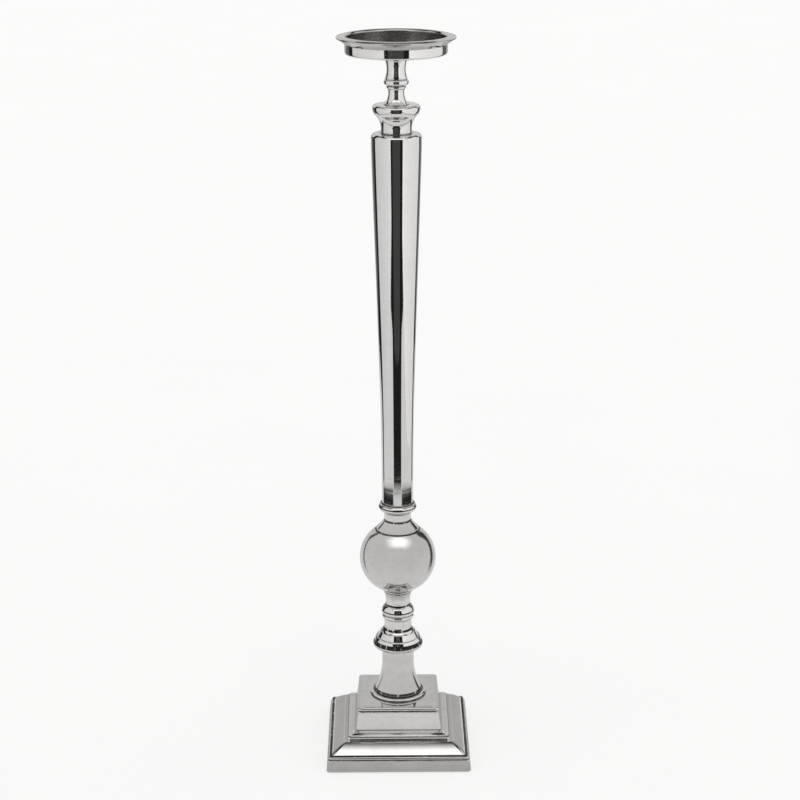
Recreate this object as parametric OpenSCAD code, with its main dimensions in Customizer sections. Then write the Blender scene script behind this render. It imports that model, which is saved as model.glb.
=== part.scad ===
// Table candlestick for one pillar candle, 800 mm tall.
//
// Turned and cast metal sections are threaded like beads on one steel tie rod.
// The rod screws into the spindle at the top and is drawn tight by a nut inside
// the hollow foot, so every section is a separate piece that seats in its neighbour
// with a short round spigot. Units are millimetres, +Z is up, and the origin is the
// centre of the square foot on the surface that the candlestick stands on.

/* [Overall] */
// Height from the table to the rim of the drip pan
total_h = 800; // [720:10:900]
// Thickness of the shells of the ball and the column
shell_t = 2.4; // [1.8:0.1:3]

/* [Square foot] */
// Width of the square foot
base_w = 160; // [159:1:200]
// Height of the stepped plinth, from the table
plinth_h = 36; // [35.5:0.5:40]
// Width of the block at its foot
block_w = 95.4; // [90:0.2:96]
// Height of the block
block_h = 26; // [24:0.2:34]

/* [Lower stem] */
// Diameter of the trumpet foot of the stem
foot_d = 63; // [58:0.5:72]
// Diameter of the stem
stem_d = 35.6; // [32:0.2:38]
// Height of the trumpet foot and the stem together
stem_h = 54; // [50:0.2:80]
// Diameter of the collar
collar_d = 55.6; // [52:0.2:60]
// Diameter of the knop
knop_d = 36.6; // [35:0.2:40]
// Diameter of the neck on each side of the knop
neck_d = 30.4; // [28:0.2:32]

/* [Ball] */
// Diameter of the hollow ball
ball_d = 84.2; // [80:0.2:96]
// Diameter of the cup that the ball sits in
cup_d = 35.2; // [32:0.2:38]
// Diameter of the bell that sits on the ball
bell_d = 46.8; // [44:0.2:50]

/* [Column] */
// Diameter of the ring under the column
ring_d = 41.6; // [40:0.2:46]
// Diameter of the column at its foot
column_foot_d = 34.5; // [33:0.5:36]
// Diameter of the column at its head
column_head_d = 53.2; // [50:0.2:60]

/* [Top] */
// Diameter of the mushroom cap on the column
cap_d = 50.2; // [48:0.2:56]
// Diameter of the bead on the spindle
bead_d = 26.2; // [24:0.2:30]
// Outer diameter of the drip pan's rim
pan_d = 124.2; // [110:0.2:150]
// Height of the drip pan
pan_h = 19.1; // [18:0.2:26]

/* [Fasteners and fits] */
// Diameter of the tie rod
rod_d = 8; // [6:2:8]
// Gap around the rod in each clearance bore, on the radius
bore_gap = 0.5; // [0.3:0.1:0.6]
// Gap around each spigot in its socket, on the radius
spigot_gap = 0.1; // [0.05:0.01:0.2]
// Height of the felt pads under the foot's rim
pad_stand = 0.6; // [0.4:0.1:1]

/* [Hidden] */
$fn = 240;
eps = 0.01;

// The ball is slightly flattened: its profile is a circle centred a little off the axis
ball_off = 2.3;
ball_r = ball_d / 2 - ball_off;

// Heights of the joints between the pieces, from the table upwards
collar_h = 27.6;
knop_h = 29;
cup_h = 16.4;
bell_h = 12;
ring_h = 18.4;
cap_h = 30;
spindle_h = 51.9;
z_block = plinth_h;
z_stem = z_block + block_h;
z_collar = z_stem + stem_h;
z_knop = z_collar + collar_h;
z_cup = z_knop + knop_h;
z_cup_rim = z_cup + cup_h;
z_ball = z_cup_rim + ball_rise(cup_d / 2);
z_bell = z_ball + ball_rise(bell_d / 2);
z_ring = z_bell + bell_h;
z_column = z_ring + ring_h;
z_pan = total_h - pan_h;
z_spindle = z_pan - spindle_h;
z_cap = z_spindle - cap_h;

// Radii of the necks: one at each side of the knop, and thinner ones at the ball
neck_r = neck_d / 2;
cup_neck_r = neck_r - 1.5;
bell_neck_r = neck_r - 0.4;

// Bores, and the spigots and sockets between the pieces
rod_r = rod_d / 2;
bore_r = rod_r + bore_gap;
thread_gap = 0.03;
spigot_r = 8;
spigot_h = 3;
socket_spare = 0.2;
socket_r = spigot_r + spigot_gap;
socket_h = spigot_h + socket_spare;
ring_spigot_h = 8;
cap_spigot_r = 13;
cap_spigot_h = 6;
spindle_spigot_r = 6.5;
spacer_r = 8;
spacer_gap = 0.3;

// The plinth's crown, and the register on it that fits inside the block
crown_t = 7;
register_r = block_w / 2 - 9;
register_h = 3;

// Felt pads, and the cast bosses that they are glued to
pad_r = 7;
pad_t = 2;
pad_boss_r = 9;
pad_xy = base_w / 2 - 12.5;

// Tie rod, its nut and its washers
rod_low = 12;
rod_grip = 18;
rod_high = z_spindle + rod_grip;
rod_chamfer = 0.8;
z_nut_face = plinth_h - crown_t;
washer_r = 20;
washer_t = 3;
spring_r = rod_r + 3.4;
spring_t = 2.2;
spring_gap = 0.2;
nut_af = rod_d < 8 ? 10 : 13;
nut_h = 6.5;
nut_chamfer = 0.7;

// Column: steps along its swell, the length of its plain ends and its rounded shoulder
swell_steps = 36;
column_end = 14;
shoulder_r = 4.5;

// Drip pan and its screw
pan_t = 1.4;
pan_floor_t = 2.6;
pan_corner_r = 1.5;
rim_w = 8.8;
rim_edge_r = 1;
rim_crest_r = 2.6;
rim_drop = 1.2;
screw_r = 2.5;
screw_len = 16;
screw_head_r = 4.9;
screw_head_h = screw_head_r - screw_r;
screw_gap = 0.15;
screw_sink = 0.1;

// Height above the ball's middle at which its surface has the radius r
function ball_rise(r) = sqrt(pow(ball_r, 2) - pow(r - ball_off, 2));
// Radius of an arc that starts square to the axis direction and moves dr sideways over dz
function arc_r(dr, dz) = (dr * dr + dz * dz) / (2 * abs(dr));

// Half outline of a turned length: upright at (r0, z0) and curving in one arc to (r1, z1).
// It hollows outwards when r1 is larger than r0 and rounds inwards when it is smaller.
module arc_side(r0, z0, r1, z1) {
    r = arc_r(r1 - r0, z1 - z0);
    low = min(z0, z1);
    h = abs(z1 - z0);
    if (r1 > r0)
        difference() {
            translate([0, low]) square([r1, h]);
            translate([r0 + r, z0]) circle(r = r);
        }
    else
        intersection() {
            translate([0, low]) square([r0, h]);
            union() {
                translate([r0 - r, z0]) circle(r = r);
                translate([0, low]) square([max(eps, r0 - r), h]);
            }
        }
}

// Half outline of a plain length between two heights
module band(r, z0, z1) {
    translate([0, z0]) square([r, z1 - z0]);
}

// Half outline of a straight taper between two heights
module taper(r0, z0, r1, z1) {
    polygon([[0, z0], [r0, z0], [r1, z1], [0, z1]]);
}

// Half outline of a rounded ring of largest radius r around the height z
module roll(r, z, bead) {
    translate([r - bead, z]) circle(r = bead);
    translate([0, z - bead]) square([r - bead, 2 * bead]);
}

// Turned piece: its outline less a straight bore for the rod
module turned(low, high, hole = bore_r) {
    rotate_extrude()
        difference() {
            children();
            translate([0, low - 1]) square([hole, high - low + 2]);
        }
}

// Square piece whose four sides all have the same half outline, mitred at the corners
module mitred(w) {
    intersection() {
        rotate([90, 0, 0]) linear_extrude(height = w, center = true) both_sides() children();
        rotate([90, 0, 90]) linear_extrude(height = w, center = true) both_sides() children();
    }
}

// Square prism with rounded vertical edges
module rounded_prism(w, r, h) {
    linear_extrude(height = h)
        union() {
            square([w, w - 2 * r], center = true);
            square([w - 2 * r, w], center = true);
            for (x = [-1, 1], y = [-1, 1])
                translate([x * (w / 2 - r), y * (w / 2 - r)]) circle(r = r);
        }
}

module both_sides() {
    children();
    mirror([1, 0]) children();
}

// ---- Square foot ----

// Half outline of the plinth: band, bead, sloping ovolo and small steps, all measured
// inwards from the foot's edge
module plinth_outline() {
    edge = base_w / 2;
    band_top = 13.8;
    batter = 1.4;
    bead_r = 2;
    bead_in = 2.5;
    bead_z = band_top + bead_r;
    quirk_low = 17.3;
    quirk_in = 7.2;
    ovolo_low = 18.2;
    ovolo_top = 28.4;
    ovolo_r = 53.2;
    ovolo_in = 44.5;
    ovolo_drop = 18.5;
    riser_in = 22.9;
    riser_top = 31.1;
    riser_bead_r = 2.1;
    step_top = plinth_h - 1.1;
    step_in = 28.4;
    top_in = 31.4;

    // battered lower band with softened edges
    polygon([[0, pad_stand], [edge - 0.6, pad_stand], [edge, pad_stand + 1.2],
        [edge - batter, band_top - 0.6], [edge - batter - 0.5, band_top], [0, band_top]]);
    roll(edge - bead_in, bead_z, bead_r);
    // quirk at the foot of the ovolo
    band(edge - quirk_in, quirk_low, ovolo_low + 0.1);
    // sloping ovolo, and the solid behind it
    intersection() {
        band(edge - bead_in, ovolo_low, ovolo_top);
        translate([edge - ovolo_in, -ovolo_drop]) circle(r = ovolo_r);
    }
    band(edge - riser_in, ovolo_low, ovolo_top);
    // riser with a rounded edge
    band(edge - riser_in - 0.1, ovolo_top - 0.4, riser_top);
    roll(edge - riser_in - 0.3, riser_top, riser_bead_r);
    // two shallow steps up to the block
    polygon([[0, riser_top - 0.1], [edge - riser_in - 2.7, riser_top + 2],
        [edge - step_in + 0.2, step_top - 0.6], [edge - step_in, step_top],
        [edge - top_in, plinth_h], [0, plinth_h]]);
}

// Hollow under the plinth, which leaves a wall all round and a thick crown
module plinth_hollow() {
    edge = base_w / 2;
    wall = 5;
    polygon([[0, -1], [edge - wall, -1], [edge - wall - 0.6, 12], [edge - 11, 15.4],
        [edge - 27, 24.6], [edge - 32, 28], [edge - 36, z_nut_face], [0, z_nut_face]]);
}

module base_plinth() {
    corner_r = 4;
    color("gainsboro")
        difference() {
            union() {
                difference() {
                    intersection() {
                        mitred(base_w) plinth_outline();
                        rounded_prism(base_w, corner_r, z_block + 1);
                    }
                    mitred(base_w) plinth_hollow();
                }
                intersection() {
                    mitred(base_w) plinth_outline();
                    at_pads() translate([0, 0, pad_t]) cylinder(r = pad_boss_r, h = z_block);
                }
                translate([0, 0, plinth_h - 1]) cylinder(r = register_r, h = register_h + 1);
            }
            translate([0, 0, z_nut_face - 1]) cylinder(r = bore_r, h = crown_t + register_h + 2);
        }
}

module at_pads() {
    for (x = [-1, 1], y = [-1, 1])
        translate([x * pad_xy, y * pad_xy, 0]) children();
}

// Half outline of the block: battered side under a bead
module block_outline() {
    edge = block_w / 2;
    batter = 2.9;
    bead_r = 2.2;
    bead_in = 2.8;
    bead_z = z_stem - 2.7;
    quirk_low = z_stem - 5.2;
    quirk_in = batter + 1.4;
    foot_gap = 0.5;
    foot_in = 0.8;
    top_in = 6.3;

    // shadow gap where the block stands on the plinth
    band(edge - foot_in, z_block, z_block + foot_gap + 0.1);
    taper(edge, z_block + foot_gap, edge - batter, quirk_low);
    band(edge - quirk_in, quirk_low - 0.1, bead_z);
    roll(edge - bead_in, bead_z, bead_r);
    band(edge - bead_in - 2, bead_z, z_stem - 0.5);
    band(edge - top_in, z_stem - 1, z_stem);
}

module base_block() {
    edge = block_w / 2;
    wall = 4.2;
    roof_t = 8;
    color("gainsboro")
        difference() {
            mitred(block_w) block_outline();
            mitred(block_w)
                polygon([[0, z_block - 1], [edge - wall, z_block - 1],
                    [edge - wall - 3.2, z_stem - roof_t], [0, z_stem - roof_t]]);
            translate([0, 0, z_stem - socket_h]) cylinder(r = socket_r, h = socket_h + 1);
            translate([0, 0, z_block]) cylinder(r = bore_r, h = block_h);
        }
}

module felt_pads() {
    color("dimgray") at_pads() cylinder(r = pad_r, h = pad_t);
}

// ---- Clamp under the foot ----

module base_washer() {
    color("silver") ring_of(washer_r, z_nut_face - washer_t, washer_t, bore_r);
}

module spring_washer() {
    color("silver") ring_of(spring_r, z_nut_face - washer_t - spring_t, spring_t, rod_r + spring_gap);
}

module base_nut() {
    z = z_nut_face - washer_t - spring_t - nut_h;
    flat_r = nut_af / 2;
    tip_r = flat_r + 1.2;
    color("silver")
        difference() {
            intersection() {
                translate([0, 0, z]) cylinder(d = nut_af / cos(30), h = nut_h, $fn = 6);
                // turned chamfer on both faces of the hexagon
                rotate_extrude()
                    polygon([[0, z], [flat_r, z], [tip_r, z + nut_chamfer],
                        [tip_r, z + nut_h - nut_chamfer], [flat_r, z + nut_h], [0, z + nut_h]]);
            }
            translate([0, 0, z - 1]) cylinder(r = rod_r + thread_gap, h = nut_h + 2);
        }
}

// Flat ring from the height z upwards
module ring_of(r, z, h, hole) {
    translate([0, 0, z])
        difference() {
            cylinder(r = r, h = h);
            translate([0, 0, -1]) cylinder(r = hole, h = h + 2);
        }
}

module tie_rod() {
    end_r = rod_r - rod_chamfer;
    color("silver")
        rotate_extrude()
            polygon([[0, rod_low], [end_r, rod_low], [rod_r, rod_low + rod_chamfer],
                [rod_r, rod_high - rod_chamfer], [end_r, rod_high], [0, rod_high]]);
}

// ---- Lower stem ----

// Spigot under a turned piece
module spigot(z, r = spigot_r, h = spigot_h) {
    translate([0, z - h]) square([r, h + eps]);
}

// Socket in the top of a turned piece
module socket(z, r = socket_r, h = socket_h) {
    translate([-1, z - h]) square([r + 1, h + 1]);
}

module stem_foot() {
    foot_r = foot_d / 2;
    stem_r = stem_d / 2;
    lip_r = 1.8;
    quirk_r = foot_r - 5.6;
    flare_r = foot_r - 4.2;
    flare_low = z_stem + 4.4;
    flare_high = z_stem + 38;
    cove_h = 6;
    color("silver")
        turned(z_stem - spigot_h, z_collar)
            difference() {
                union() {
                    roll(foot_r, z_stem + lip_r, lip_r);
                    band(quirk_r, z_stem + lip_r, flare_low + 0.1);
                    arc_side(stem_r, flare_high, flare_r, flare_low);
                    band(stem_r, flare_high, z_collar);
                    arc_side(stem_r, z_collar - cove_h, stem_r + 0.9, z_collar);
                    spigot(z_stem);
                }
                socket(z_collar);
            }
}

// Collar: a heavy rounded ring, a quirk, and a dome that hollows into the neck
module collar() {
    ring_r = collar_d / 2;
    ring_z = z_collar + 6.2;
    ring_bead = 3.3;
    quirk_r = ring_r - 3.7;
    quirk_z = z_collar + 14.9;
    quirk = 0.8;
    dome_r = neck_r + 4.3;
    dome_z = z_knop - 6.4;
    color("silver")
        turned(z_collar - spigot_h, z_knop)
            difference() {
                union() {
                    spigot(z_collar);
                    band(stem_d / 2 + 1.2, z_collar, ring_z - 2);
                    roll(ring_r, ring_z, ring_bead);
                    arc_side(ring_r - 0.9, ring_z + 1.3, quirk_r, quirk_z);
                    taper(quirk_r - quirk, quirk_z - 1, dome_r, dome_z);
                    arc_side(neck_r, z_knop + 1, dome_r, dome_z);
                }
                translate([-1, z_knop]) square([ring_r, 5]);
                socket(z_knop);
            }
}

// Knop: a plain neck, a bead, a quirk and a rounded body under a thinner neck
module knop() {
    knop_r = knop_d / 2;
    bead_r = 2.7;
    bead_in = 0.6;
    bead_z = z_knop + 12.1;
    quirk_r = knop_r - 1.7;
    body_low = z_knop + 14.8;
    body_mid = z_knop + 17;
    body_top = z_cup - 4;
    shoulder = cup_neck_r + 0.7;
    fillet_h = 2.8;
    color("silver")
        turned(z_knop - spigot_h, z_cup)
            difference() {
                union() {
                    spigot(z_knop);
                    band(neck_r, z_knop, bead_z);
                    roll(knop_r - bead_in, bead_z, bead_r);
                    band(quirk_r, bead_z, body_low + 0.2);
                    arc_side(knop_r, body_mid, knop_r - 0.9, body_low);
                    arc_side(knop_r, body_mid, shoulder, body_top);
                    arc_side(cup_neck_r, body_top + fillet_h, shoulder, body_top);
                    band(cup_neck_r, body_top + fillet_h, z_cup);
                }
                socket(z_cup);
            }
}

// ---- Ball between its cup and its bell ----

module ball_cup() {
    cup_r = cup_d / 2;
    lip_r = 1.3;
    cove_low = z_cup + 2;
    cove_top = z_cup_rim - 2;
    color("silver")
        turned(z_cup - spigot_h, z_ball)
            difference() {
                union() {
                    spigot(z_cup);
                    band(cup_neck_r, z_cup, cove_low);
                    arc_side(cup_neck_r, cove_low, cup_r - 0.6, cove_top);
                    roll(cup_r, z_cup_rim - lip_r, lip_r);
                }
                ball_outline(0);
            }
}

// Half outline of the ball, drawn in by an inset
module ball_outline(inset) {
    intersection() {
        translate([ball_off, z_ball]) circle(r = ball_r - inset);
        band(ball_d, z_ball - ball_d, z_ball + ball_d);
    }
}

module ball() {
    color("silver")
        rotate_extrude()
            difference() {
                ball_outline(0);
                ball_outline(shell_t);
                band(spacer_r + spacer_gap, z_ball - ball_d, z_ball + ball_d);
            }
}

// Tube that carries the clamping load past the thin ball
module ball_spacer() {
    half_h = ball_rise(bore_r);
    color("silver") ring_of(spacer_r, z_ball - half_h, 2 * half_h, bore_r);
}

// Bell: a thin rim on the ball, a straight slope and a small cove under the ring's neck
module bell_cap() {
    bell_r = bell_d / 2;
    rim_h = 1.3;
    rim_step = 0.8;
    cove_r = bell_neck_r + 1.5;
    cove_z = z_ring - 3.4;
    skirt = 5;
    color("silver")
        turned(z_bell - skirt, z_ring)
            difference() {
                union() {
                    band(bell_r, z_bell, z_bell + rim_h);
                    taper(bell_r - rim_step, z_bell + rim_h, cove_r, cove_z);
                    arc_side(bell_neck_r, z_ring + 0.4, cove_r, cove_z);
                }
                translate([-1, z_ring]) square([bell_d, 10]);
                ball_outline(0);
                socket(z_ring);
            }
}

// ---- Column ----

module column_ring() {
    ring_r = ring_d / 2;
    bead_r = 4.1;
    bead_z = z_column - 4.7;
    color("silver")
        turned(z_ring - spigot_h, z_column + ring_spigot_h)
            union() {
                spigot(z_ring);
                band(bell_neck_r, z_ring, bead_z - 3);
                roll(ring_r, bead_z, bead_r);
                band(ring_r - 1.6, bead_z, z_column);
                // register that centres the column
                band(column_foot_d / 2 - shell_t - spigot_gap, z_column, z_column + ring_spigot_h);
            }
}

// Share of the column's widening reached at a share t of its height
function swell(t) = t * t * (1.95 - 0.95 * t);

// Half outline of the column, drawn in by an inset: straight foot, long swell, rounded shoulder
module column_outline(inset, steps = swell_steps) {
    foot_r = column_foot_d / 2 - inset;
    head_r = column_head_d / 2 - inset;
    low = z_column + column_end;
    high = z_cap - column_end;
    top = z_cap - shoulder_r;
    shoulder_x = column_head_d / 2 - shoulder_r;
    polygon(concat(
        [[0, z_column], [foot_r, z_column]],
        [for (i = [0 : steps])
            [foot_r + (head_r - foot_r) * swell(i / steps), low + (high - low) * i / steps]],
        [[head_r, top], [0, top]]));
    band(shoulder_x, top - 1, z_cap - inset);
    intersection() {
        translate([shoulder_x, top]) circle(r = shoulder_r - inset);
        band(head_r, top - eps, z_cap);
    }
}

module column() {
    hollow_steps = 12;
    color("silver")
        rotate_extrude()
            difference() {
                column_outline(0);
                column_outline(shell_t, hollow_steps);
                socket(z_cap, cap_spigot_r + spigot_gap, shell_t + 1);
            }
}

// ---- Top ----

// Mushroom cap: a short neck that hollows out to a rounded brim
module column_cap() {
    cap_r = cap_d / 2;
    cap_neck_r = 16.2;
    neck_top = z_cap + 4.8;
    brim_low = z_cap + 19.3;
    brim_z = z_spindle - 3.4;
    brim_r = 3.2;
    under_r = cap_r - 2.8;
    color("silver")
        turned(z_cap - cap_spigot_h, z_spindle)
            difference() {
                union() {
                    spigot(z_cap, cap_spigot_r, cap_spigot_h);
                    band(cap_neck_r, z_cap, neck_top);
                    arc_side(cap_neck_r, neck_top, under_r, brim_low);
                    arc_side(cap_r, brim_z, under_r, brim_low);
                    roll(cap_r, brim_z, brim_r);
                    band(cap_r - brim_r, brim_low, z_spindle);
                }
                socket(z_spindle, spindle_spigot_r + spigot_gap);
            }
}

// Spindle: a flared foot, a waist, a small ring, a bead and a long neck under the pan
module spindle() {
    bead_r = bead_d / 2;
    foot_r = 13;
    foot_h = 0.9;
    flare_r = foot_r - 0.6;
    waist_r = 8.2;
    waist_z = z_spindle + 11.9;
    ring_r = 10.2;
    ring_bead = 1.9;
    ring_z = z_spindle + 17.7;
    bead_z = z_spindle + 23.1;
    bead = 3.7;
    neck_r = 9.8;
    neck_z = z_spindle + 35.8;
    head_r = 11.9;
    head_z = z_spindle + 45.8;
    color("whitesmoke")
        rotate_extrude()
            difference() {
                union() {
                    spigot(z_spindle, spindle_spigot_r);
                    band(foot_r, z_spindle, z_spindle + foot_h);
                    arc_side(waist_r, waist_z, flare_r, z_spindle + foot_h);
                    arc_side(waist_r, waist_z, ring_r - 1.2, ring_z - 1.4);
                    roll(ring_r, ring_z, ring_bead);
                    band(ring_r - 0.9, ring_z, bead_z);
                    roll(bead_r, bead_z, bead);
                    arc_side(neck_r, neck_z, head_r, bead_z + bead - 0.2);
                    arc_side(neck_r, neck_z, head_r - 0.4, head_z);
                    band(head_r, head_z, z_pan);
                }
                // tapped hole for the tie rod, and one for the pan's screw
                band(rod_r + thread_gap, z_spindle - 10, rod_high + 2);
                band(screw_r + thread_gap, z_pan - screw_len, z_pan + 1);
            }
}

// Half outline of the pan: round-cornered dish with a moulded rim
module pan_outline() {
    wall = pan_d / 2 - rim_w;
    edge = pan_d / 2 - rim_edge_r;
    edge_z = total_h - rim_drop - rim_edge_r;
    crest = wall - pan_t + rim_crest_r;
    crown_r = arc_r(rim_drop, edge - crest);
    corner = 2.6;
    under_z = total_h - 8.6;

    band(wall - corner, z_pan, under_z + 1);
    translate([wall - corner, z_pan + corner]) circle(r = corner);
    band(wall, z_pan + corner, under_z + 1);
    // sloping underside of the rim
    polygon([[0, under_z], [wall, under_z], [edge - 0.9, edge_z - 1], [edge, edge_z],
        [crest, edge_z], [crest, total_h - rim_crest_r], [0, total_h - rim_crest_r]]);
    // rounded edge of the rim
    translate([edge, edge_z]) circle(r = rim_edge_r);
    // crown of the rim, highest at the mouth
    intersection() {
        translate([crest, total_h - crown_r]) circle(r = crown_r);
        translate([crest, edge_z]) square([edge - crest, total_h - edge_z]);
    }
    translate([crest, total_h - rim_crest_r]) circle(r = rim_crest_r);
}

module drip_pan() {
    inner = pan_d / 2 - rim_w - pan_t;
    floor_z = z_pan + pan_floor_t;
    hole_r = screw_r + screw_gap;
    sink_r = screw_head_r + screw_gap;
    color("gainsboro")
        rotate_extrude()
            difference() {
                pan_outline();
                band(inner - pan_corner_r, floor_z, total_h + 1);
                translate([inner - pan_corner_r, floor_z + pan_corner_r]) circle(r = pan_corner_r);
                band(inner, floor_z + pan_corner_r, total_h + 1);
                // countersunk hole
                polygon([[0, z_pan - 1], [hole_r, z_pan - 1], [hole_r, floor_z - screw_head_h],
                    [sink_r, floor_z], [sink_r, floor_z + 1], [0, floor_z + 1]]);
            }
}

module pan_screw() {
    head_z = z_pan + pan_floor_t - screw_sink;
    tip_z = head_z + screw_sink - screw_len;
    tip_r = screw_r - 0.6;
    color("silver")
        rotate_extrude()
            polygon([[0, tip_z], [tip_r, tip_z], [screw_r, tip_z + 0.6],
                [screw_r, head_z - screw_head_h], [screw_head_r - screw_sink, head_z], [0, head_z]]);
}

base_plinth();
base_block();
felt_pads();
base_washer();
spring_washer();
base_nut();
tie_rod();
stem_foot();
collar();
knop();
ball_cup();
ball();
ball_spacer();
bell_cap();
column_ring();
column();
column_cap();
spindle();
drip_pan();
pan_screw();
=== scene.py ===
"""Looks of the silver candlestick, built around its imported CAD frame."""

import math

import bpy
import numpy as np
from mathutils import Matrix, Vector


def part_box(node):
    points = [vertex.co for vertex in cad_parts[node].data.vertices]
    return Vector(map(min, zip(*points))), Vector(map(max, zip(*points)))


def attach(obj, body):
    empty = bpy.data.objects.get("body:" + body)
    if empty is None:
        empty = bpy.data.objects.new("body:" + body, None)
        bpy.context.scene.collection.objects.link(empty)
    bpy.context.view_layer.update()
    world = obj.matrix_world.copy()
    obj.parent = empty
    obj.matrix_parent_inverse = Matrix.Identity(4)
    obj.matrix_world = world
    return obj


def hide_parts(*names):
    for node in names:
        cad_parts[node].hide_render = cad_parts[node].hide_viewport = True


MM = 0.001

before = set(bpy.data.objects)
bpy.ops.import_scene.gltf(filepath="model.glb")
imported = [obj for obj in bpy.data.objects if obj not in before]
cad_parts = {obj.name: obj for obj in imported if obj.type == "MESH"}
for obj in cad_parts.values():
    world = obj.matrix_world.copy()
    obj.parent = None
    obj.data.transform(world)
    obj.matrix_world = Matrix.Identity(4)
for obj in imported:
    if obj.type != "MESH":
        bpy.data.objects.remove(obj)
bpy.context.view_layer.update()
scene = bpy.context.scene
scene.view_settings.view_transform = "Standard"

# ---------------------------------------------------------------- sections of the CAD pieces


def section(node, angle, offset=0.0):
    """Cuts a CAD node with a vertical half plane and returns its outline as (r, z) points."""
    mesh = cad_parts[node].data
    mesh.calc_loop_triangles()
    co = np.array([v.co for v in mesh.vertices], float)
    tri = np.array([t.vertices[:] for t in mesh.loop_triangles])
    c, s = math.cos(angle), math.sin(angle)
    across = -co[:, 0] * s + co[:, 1] * c - offset
    plane = np.stack([co[:, 0] * c + co[:, 1] * s, co[:, 2]], 1)
    side = across > 0
    cuts = []
    for t in tri[(side[tri].any(1)) & (~side[tri].all(1))]:
        ends = []
        for a, b in ((t[0], t[1]), (t[1], t[2]), (t[2], t[0])):
            if side[a] != side[b]:
                if tuple(co[a]) > tuple(co[b]):
                    a, b = b, a
                k = across[a] / (across[a] - across[b])
                ends.append(plane[a] + k * (plane[b] - plane[a]))
        p, q = ends
        if p[0] < 0 and q[0] < 0:
            continue
        if p[0] < 0 or q[0] < 0:
            if p[0] > q[0]:
                p, q = q, p
            p = p + (0 - p[0]) / (q[0] - p[0]) * (q - p)
        if np.hypot(*(p - q)) > 1e-8:
            cuts.append((p, q))
    return chained(np.array(cuts))


def chained(cuts):
    """Joins cut segments end to end into one outline."""
    a, b = cuts[:, 0], cuts[:, 1]
    free = np.ones(len(cuts), bool)
    on_axis = np.where(np.minimum(a[:, 0], b[:, 0]) < 1e-7)[0]
    first = int(on_axis[0]) if len(on_axis) else 0
    line = [a[first], b[first]] if a[first, 0] < 1e-7 or not len(on_axis) else [b[first], a[first]]
    free[first] = False
    while free.any():
        da = np.where(free, np.hypot(*(a - line[-1]).T), 1.0)
        db = np.where(free, np.hypot(*(b - line[-1]).T), 1.0)
        i, j = int(da.argmin()), int(db.argmin())
        if min(da[i], db[j]) > 2e-6:
            break
        k, other = (i, b[i]) if da[i] <= db[j] else (j, a[j])
        line.append(other)
        free[k] = False
    line = np.array(line)
    closed = np.hypot(*(line[0] - line[-1])) < 2e-6
    if closed:
        line = line[:-1]
    x, z = line[:, 0], line[:, 1]
    area = np.sum(x * np.roll(z, -1) - np.roll(x, -1) * z)
    return (line if area > 0 else line[::-1]), closed


def simplified(line, closed, tolerance=0.008 * MM):
    """Drops the points that lie on a straight run or within the tolerance of one."""
    if closed:
        start = int(line[:, 1].argmin())
        line = np.roll(line, -start, 0)
        line = np.vstack([line, line[:1]])
    keep = np.zeros(len(line), bool)
    keep[0] = keep[-1] = True
    stack = [(0, len(line) - 1)]
    if closed:
        far = int(np.hypot(*(line - line[0]).T).argmax())
        keep[far] = True
        stack = [(0, far), (far, len(line) - 1)]
    while stack:
        i, j = stack.pop()
        if j - i < 2:
            continue
        d = line[j] - line[i]
        n = np.array([-d[1], d[0]]) / max(np.hypot(*d), 1e-12)
        away = np.abs((line[i + 1 : j] - line[i]) @ n)
        k = int(away.argmax())
        if away[k] > tolerance:
            keep[i + 1 + k] = True
            stack += [(i, i + 1 + k), (i + 1 + k, j)]
    line = line[keep]
    return line[:-1] if closed else line


SHARP = math.radians(22)


def softened(line, closed, radius, steps=6):
    """Rounds each sharp corner, and returns the points with +1 at convex and -1 at hollow roundings."""
    out, mark = [], []
    n = len(line)
    for i in range(n):
        p = line[i]
        if not closed and i in (0, n - 1):
            out.append(p), mark.append(0.0)
            continue
        before, after = line[i - 1], line[(i + 1) % n]
        u, v = p - before, after - p
        lu, lv = np.hypot(*u), np.hypot(*v)
        turn = math.atan2(u[0] * v[1] - u[1] * v[0], u @ v)
        if abs(turn) < SHARP:
            out.append(p), mark.append(0.0)
            continue
        tight = radius if turn > 0 else 0.3 * radius
        trim = min(tight * math.tan(min(abs(turn), 2.6) / 2), 0.45 * lu, 0.45 * lv)
        q, r = p - u / lu * trim, p + v / lv * trim
        for k in range(steps + 1):
            t = k / steps
            out.append((1 - t) ** 2 * q + 2 * t * (1 - t) * p + t * t * r)
            mark.append((1.0 if turn > 0 else -1.0) * min(1.0, 4 * t * (1 - t) + 0.2))
    return np.array(out), np.array(mark)


FADE = 0.5 * MM


def refined(line, mark, closed, longest):
    """Splits long runs, more finely beside their ends."""
    out, marks = [], []
    n = len(line)
    for i in range(n if closed else n - 1):
        p, q = line[i], line[(i + 1) % n]
        m, k = mark[i], mark[(i + 1) % n]
        length = np.hypot(*(q - p))
        cuts = [0.0]
        if length > 3 * MM:
            near = [d * MM / length for d in (0.35, 0.9, 1.8)]
            cuts += [c for c in near if c < 0.45]
            inner = max(1, math.ceil((1 - 2 * near[-1]) * length / longest)) if near[-1] < 0.45 else 1
            if near[-1] < 0.45:
                cuts += [near[-1] + (1 - 2 * near[-1]) * j / inner for j in range(1, inner)]
            cuts += [1 - c for c in reversed(near) if c < 0.45]
        for c in cuts:
            out.append(p + c * (q - p))
            here, ahead = 1 - min(1, c * length / FADE), max(0, 1 - (1 - c) * length / FADE)
            marks.append(m * here + k * ahead)
    if not closed:
        out.append(line[-1]), marks.append(mark[-1])
    return np.array(out), np.array(marks)


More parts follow.
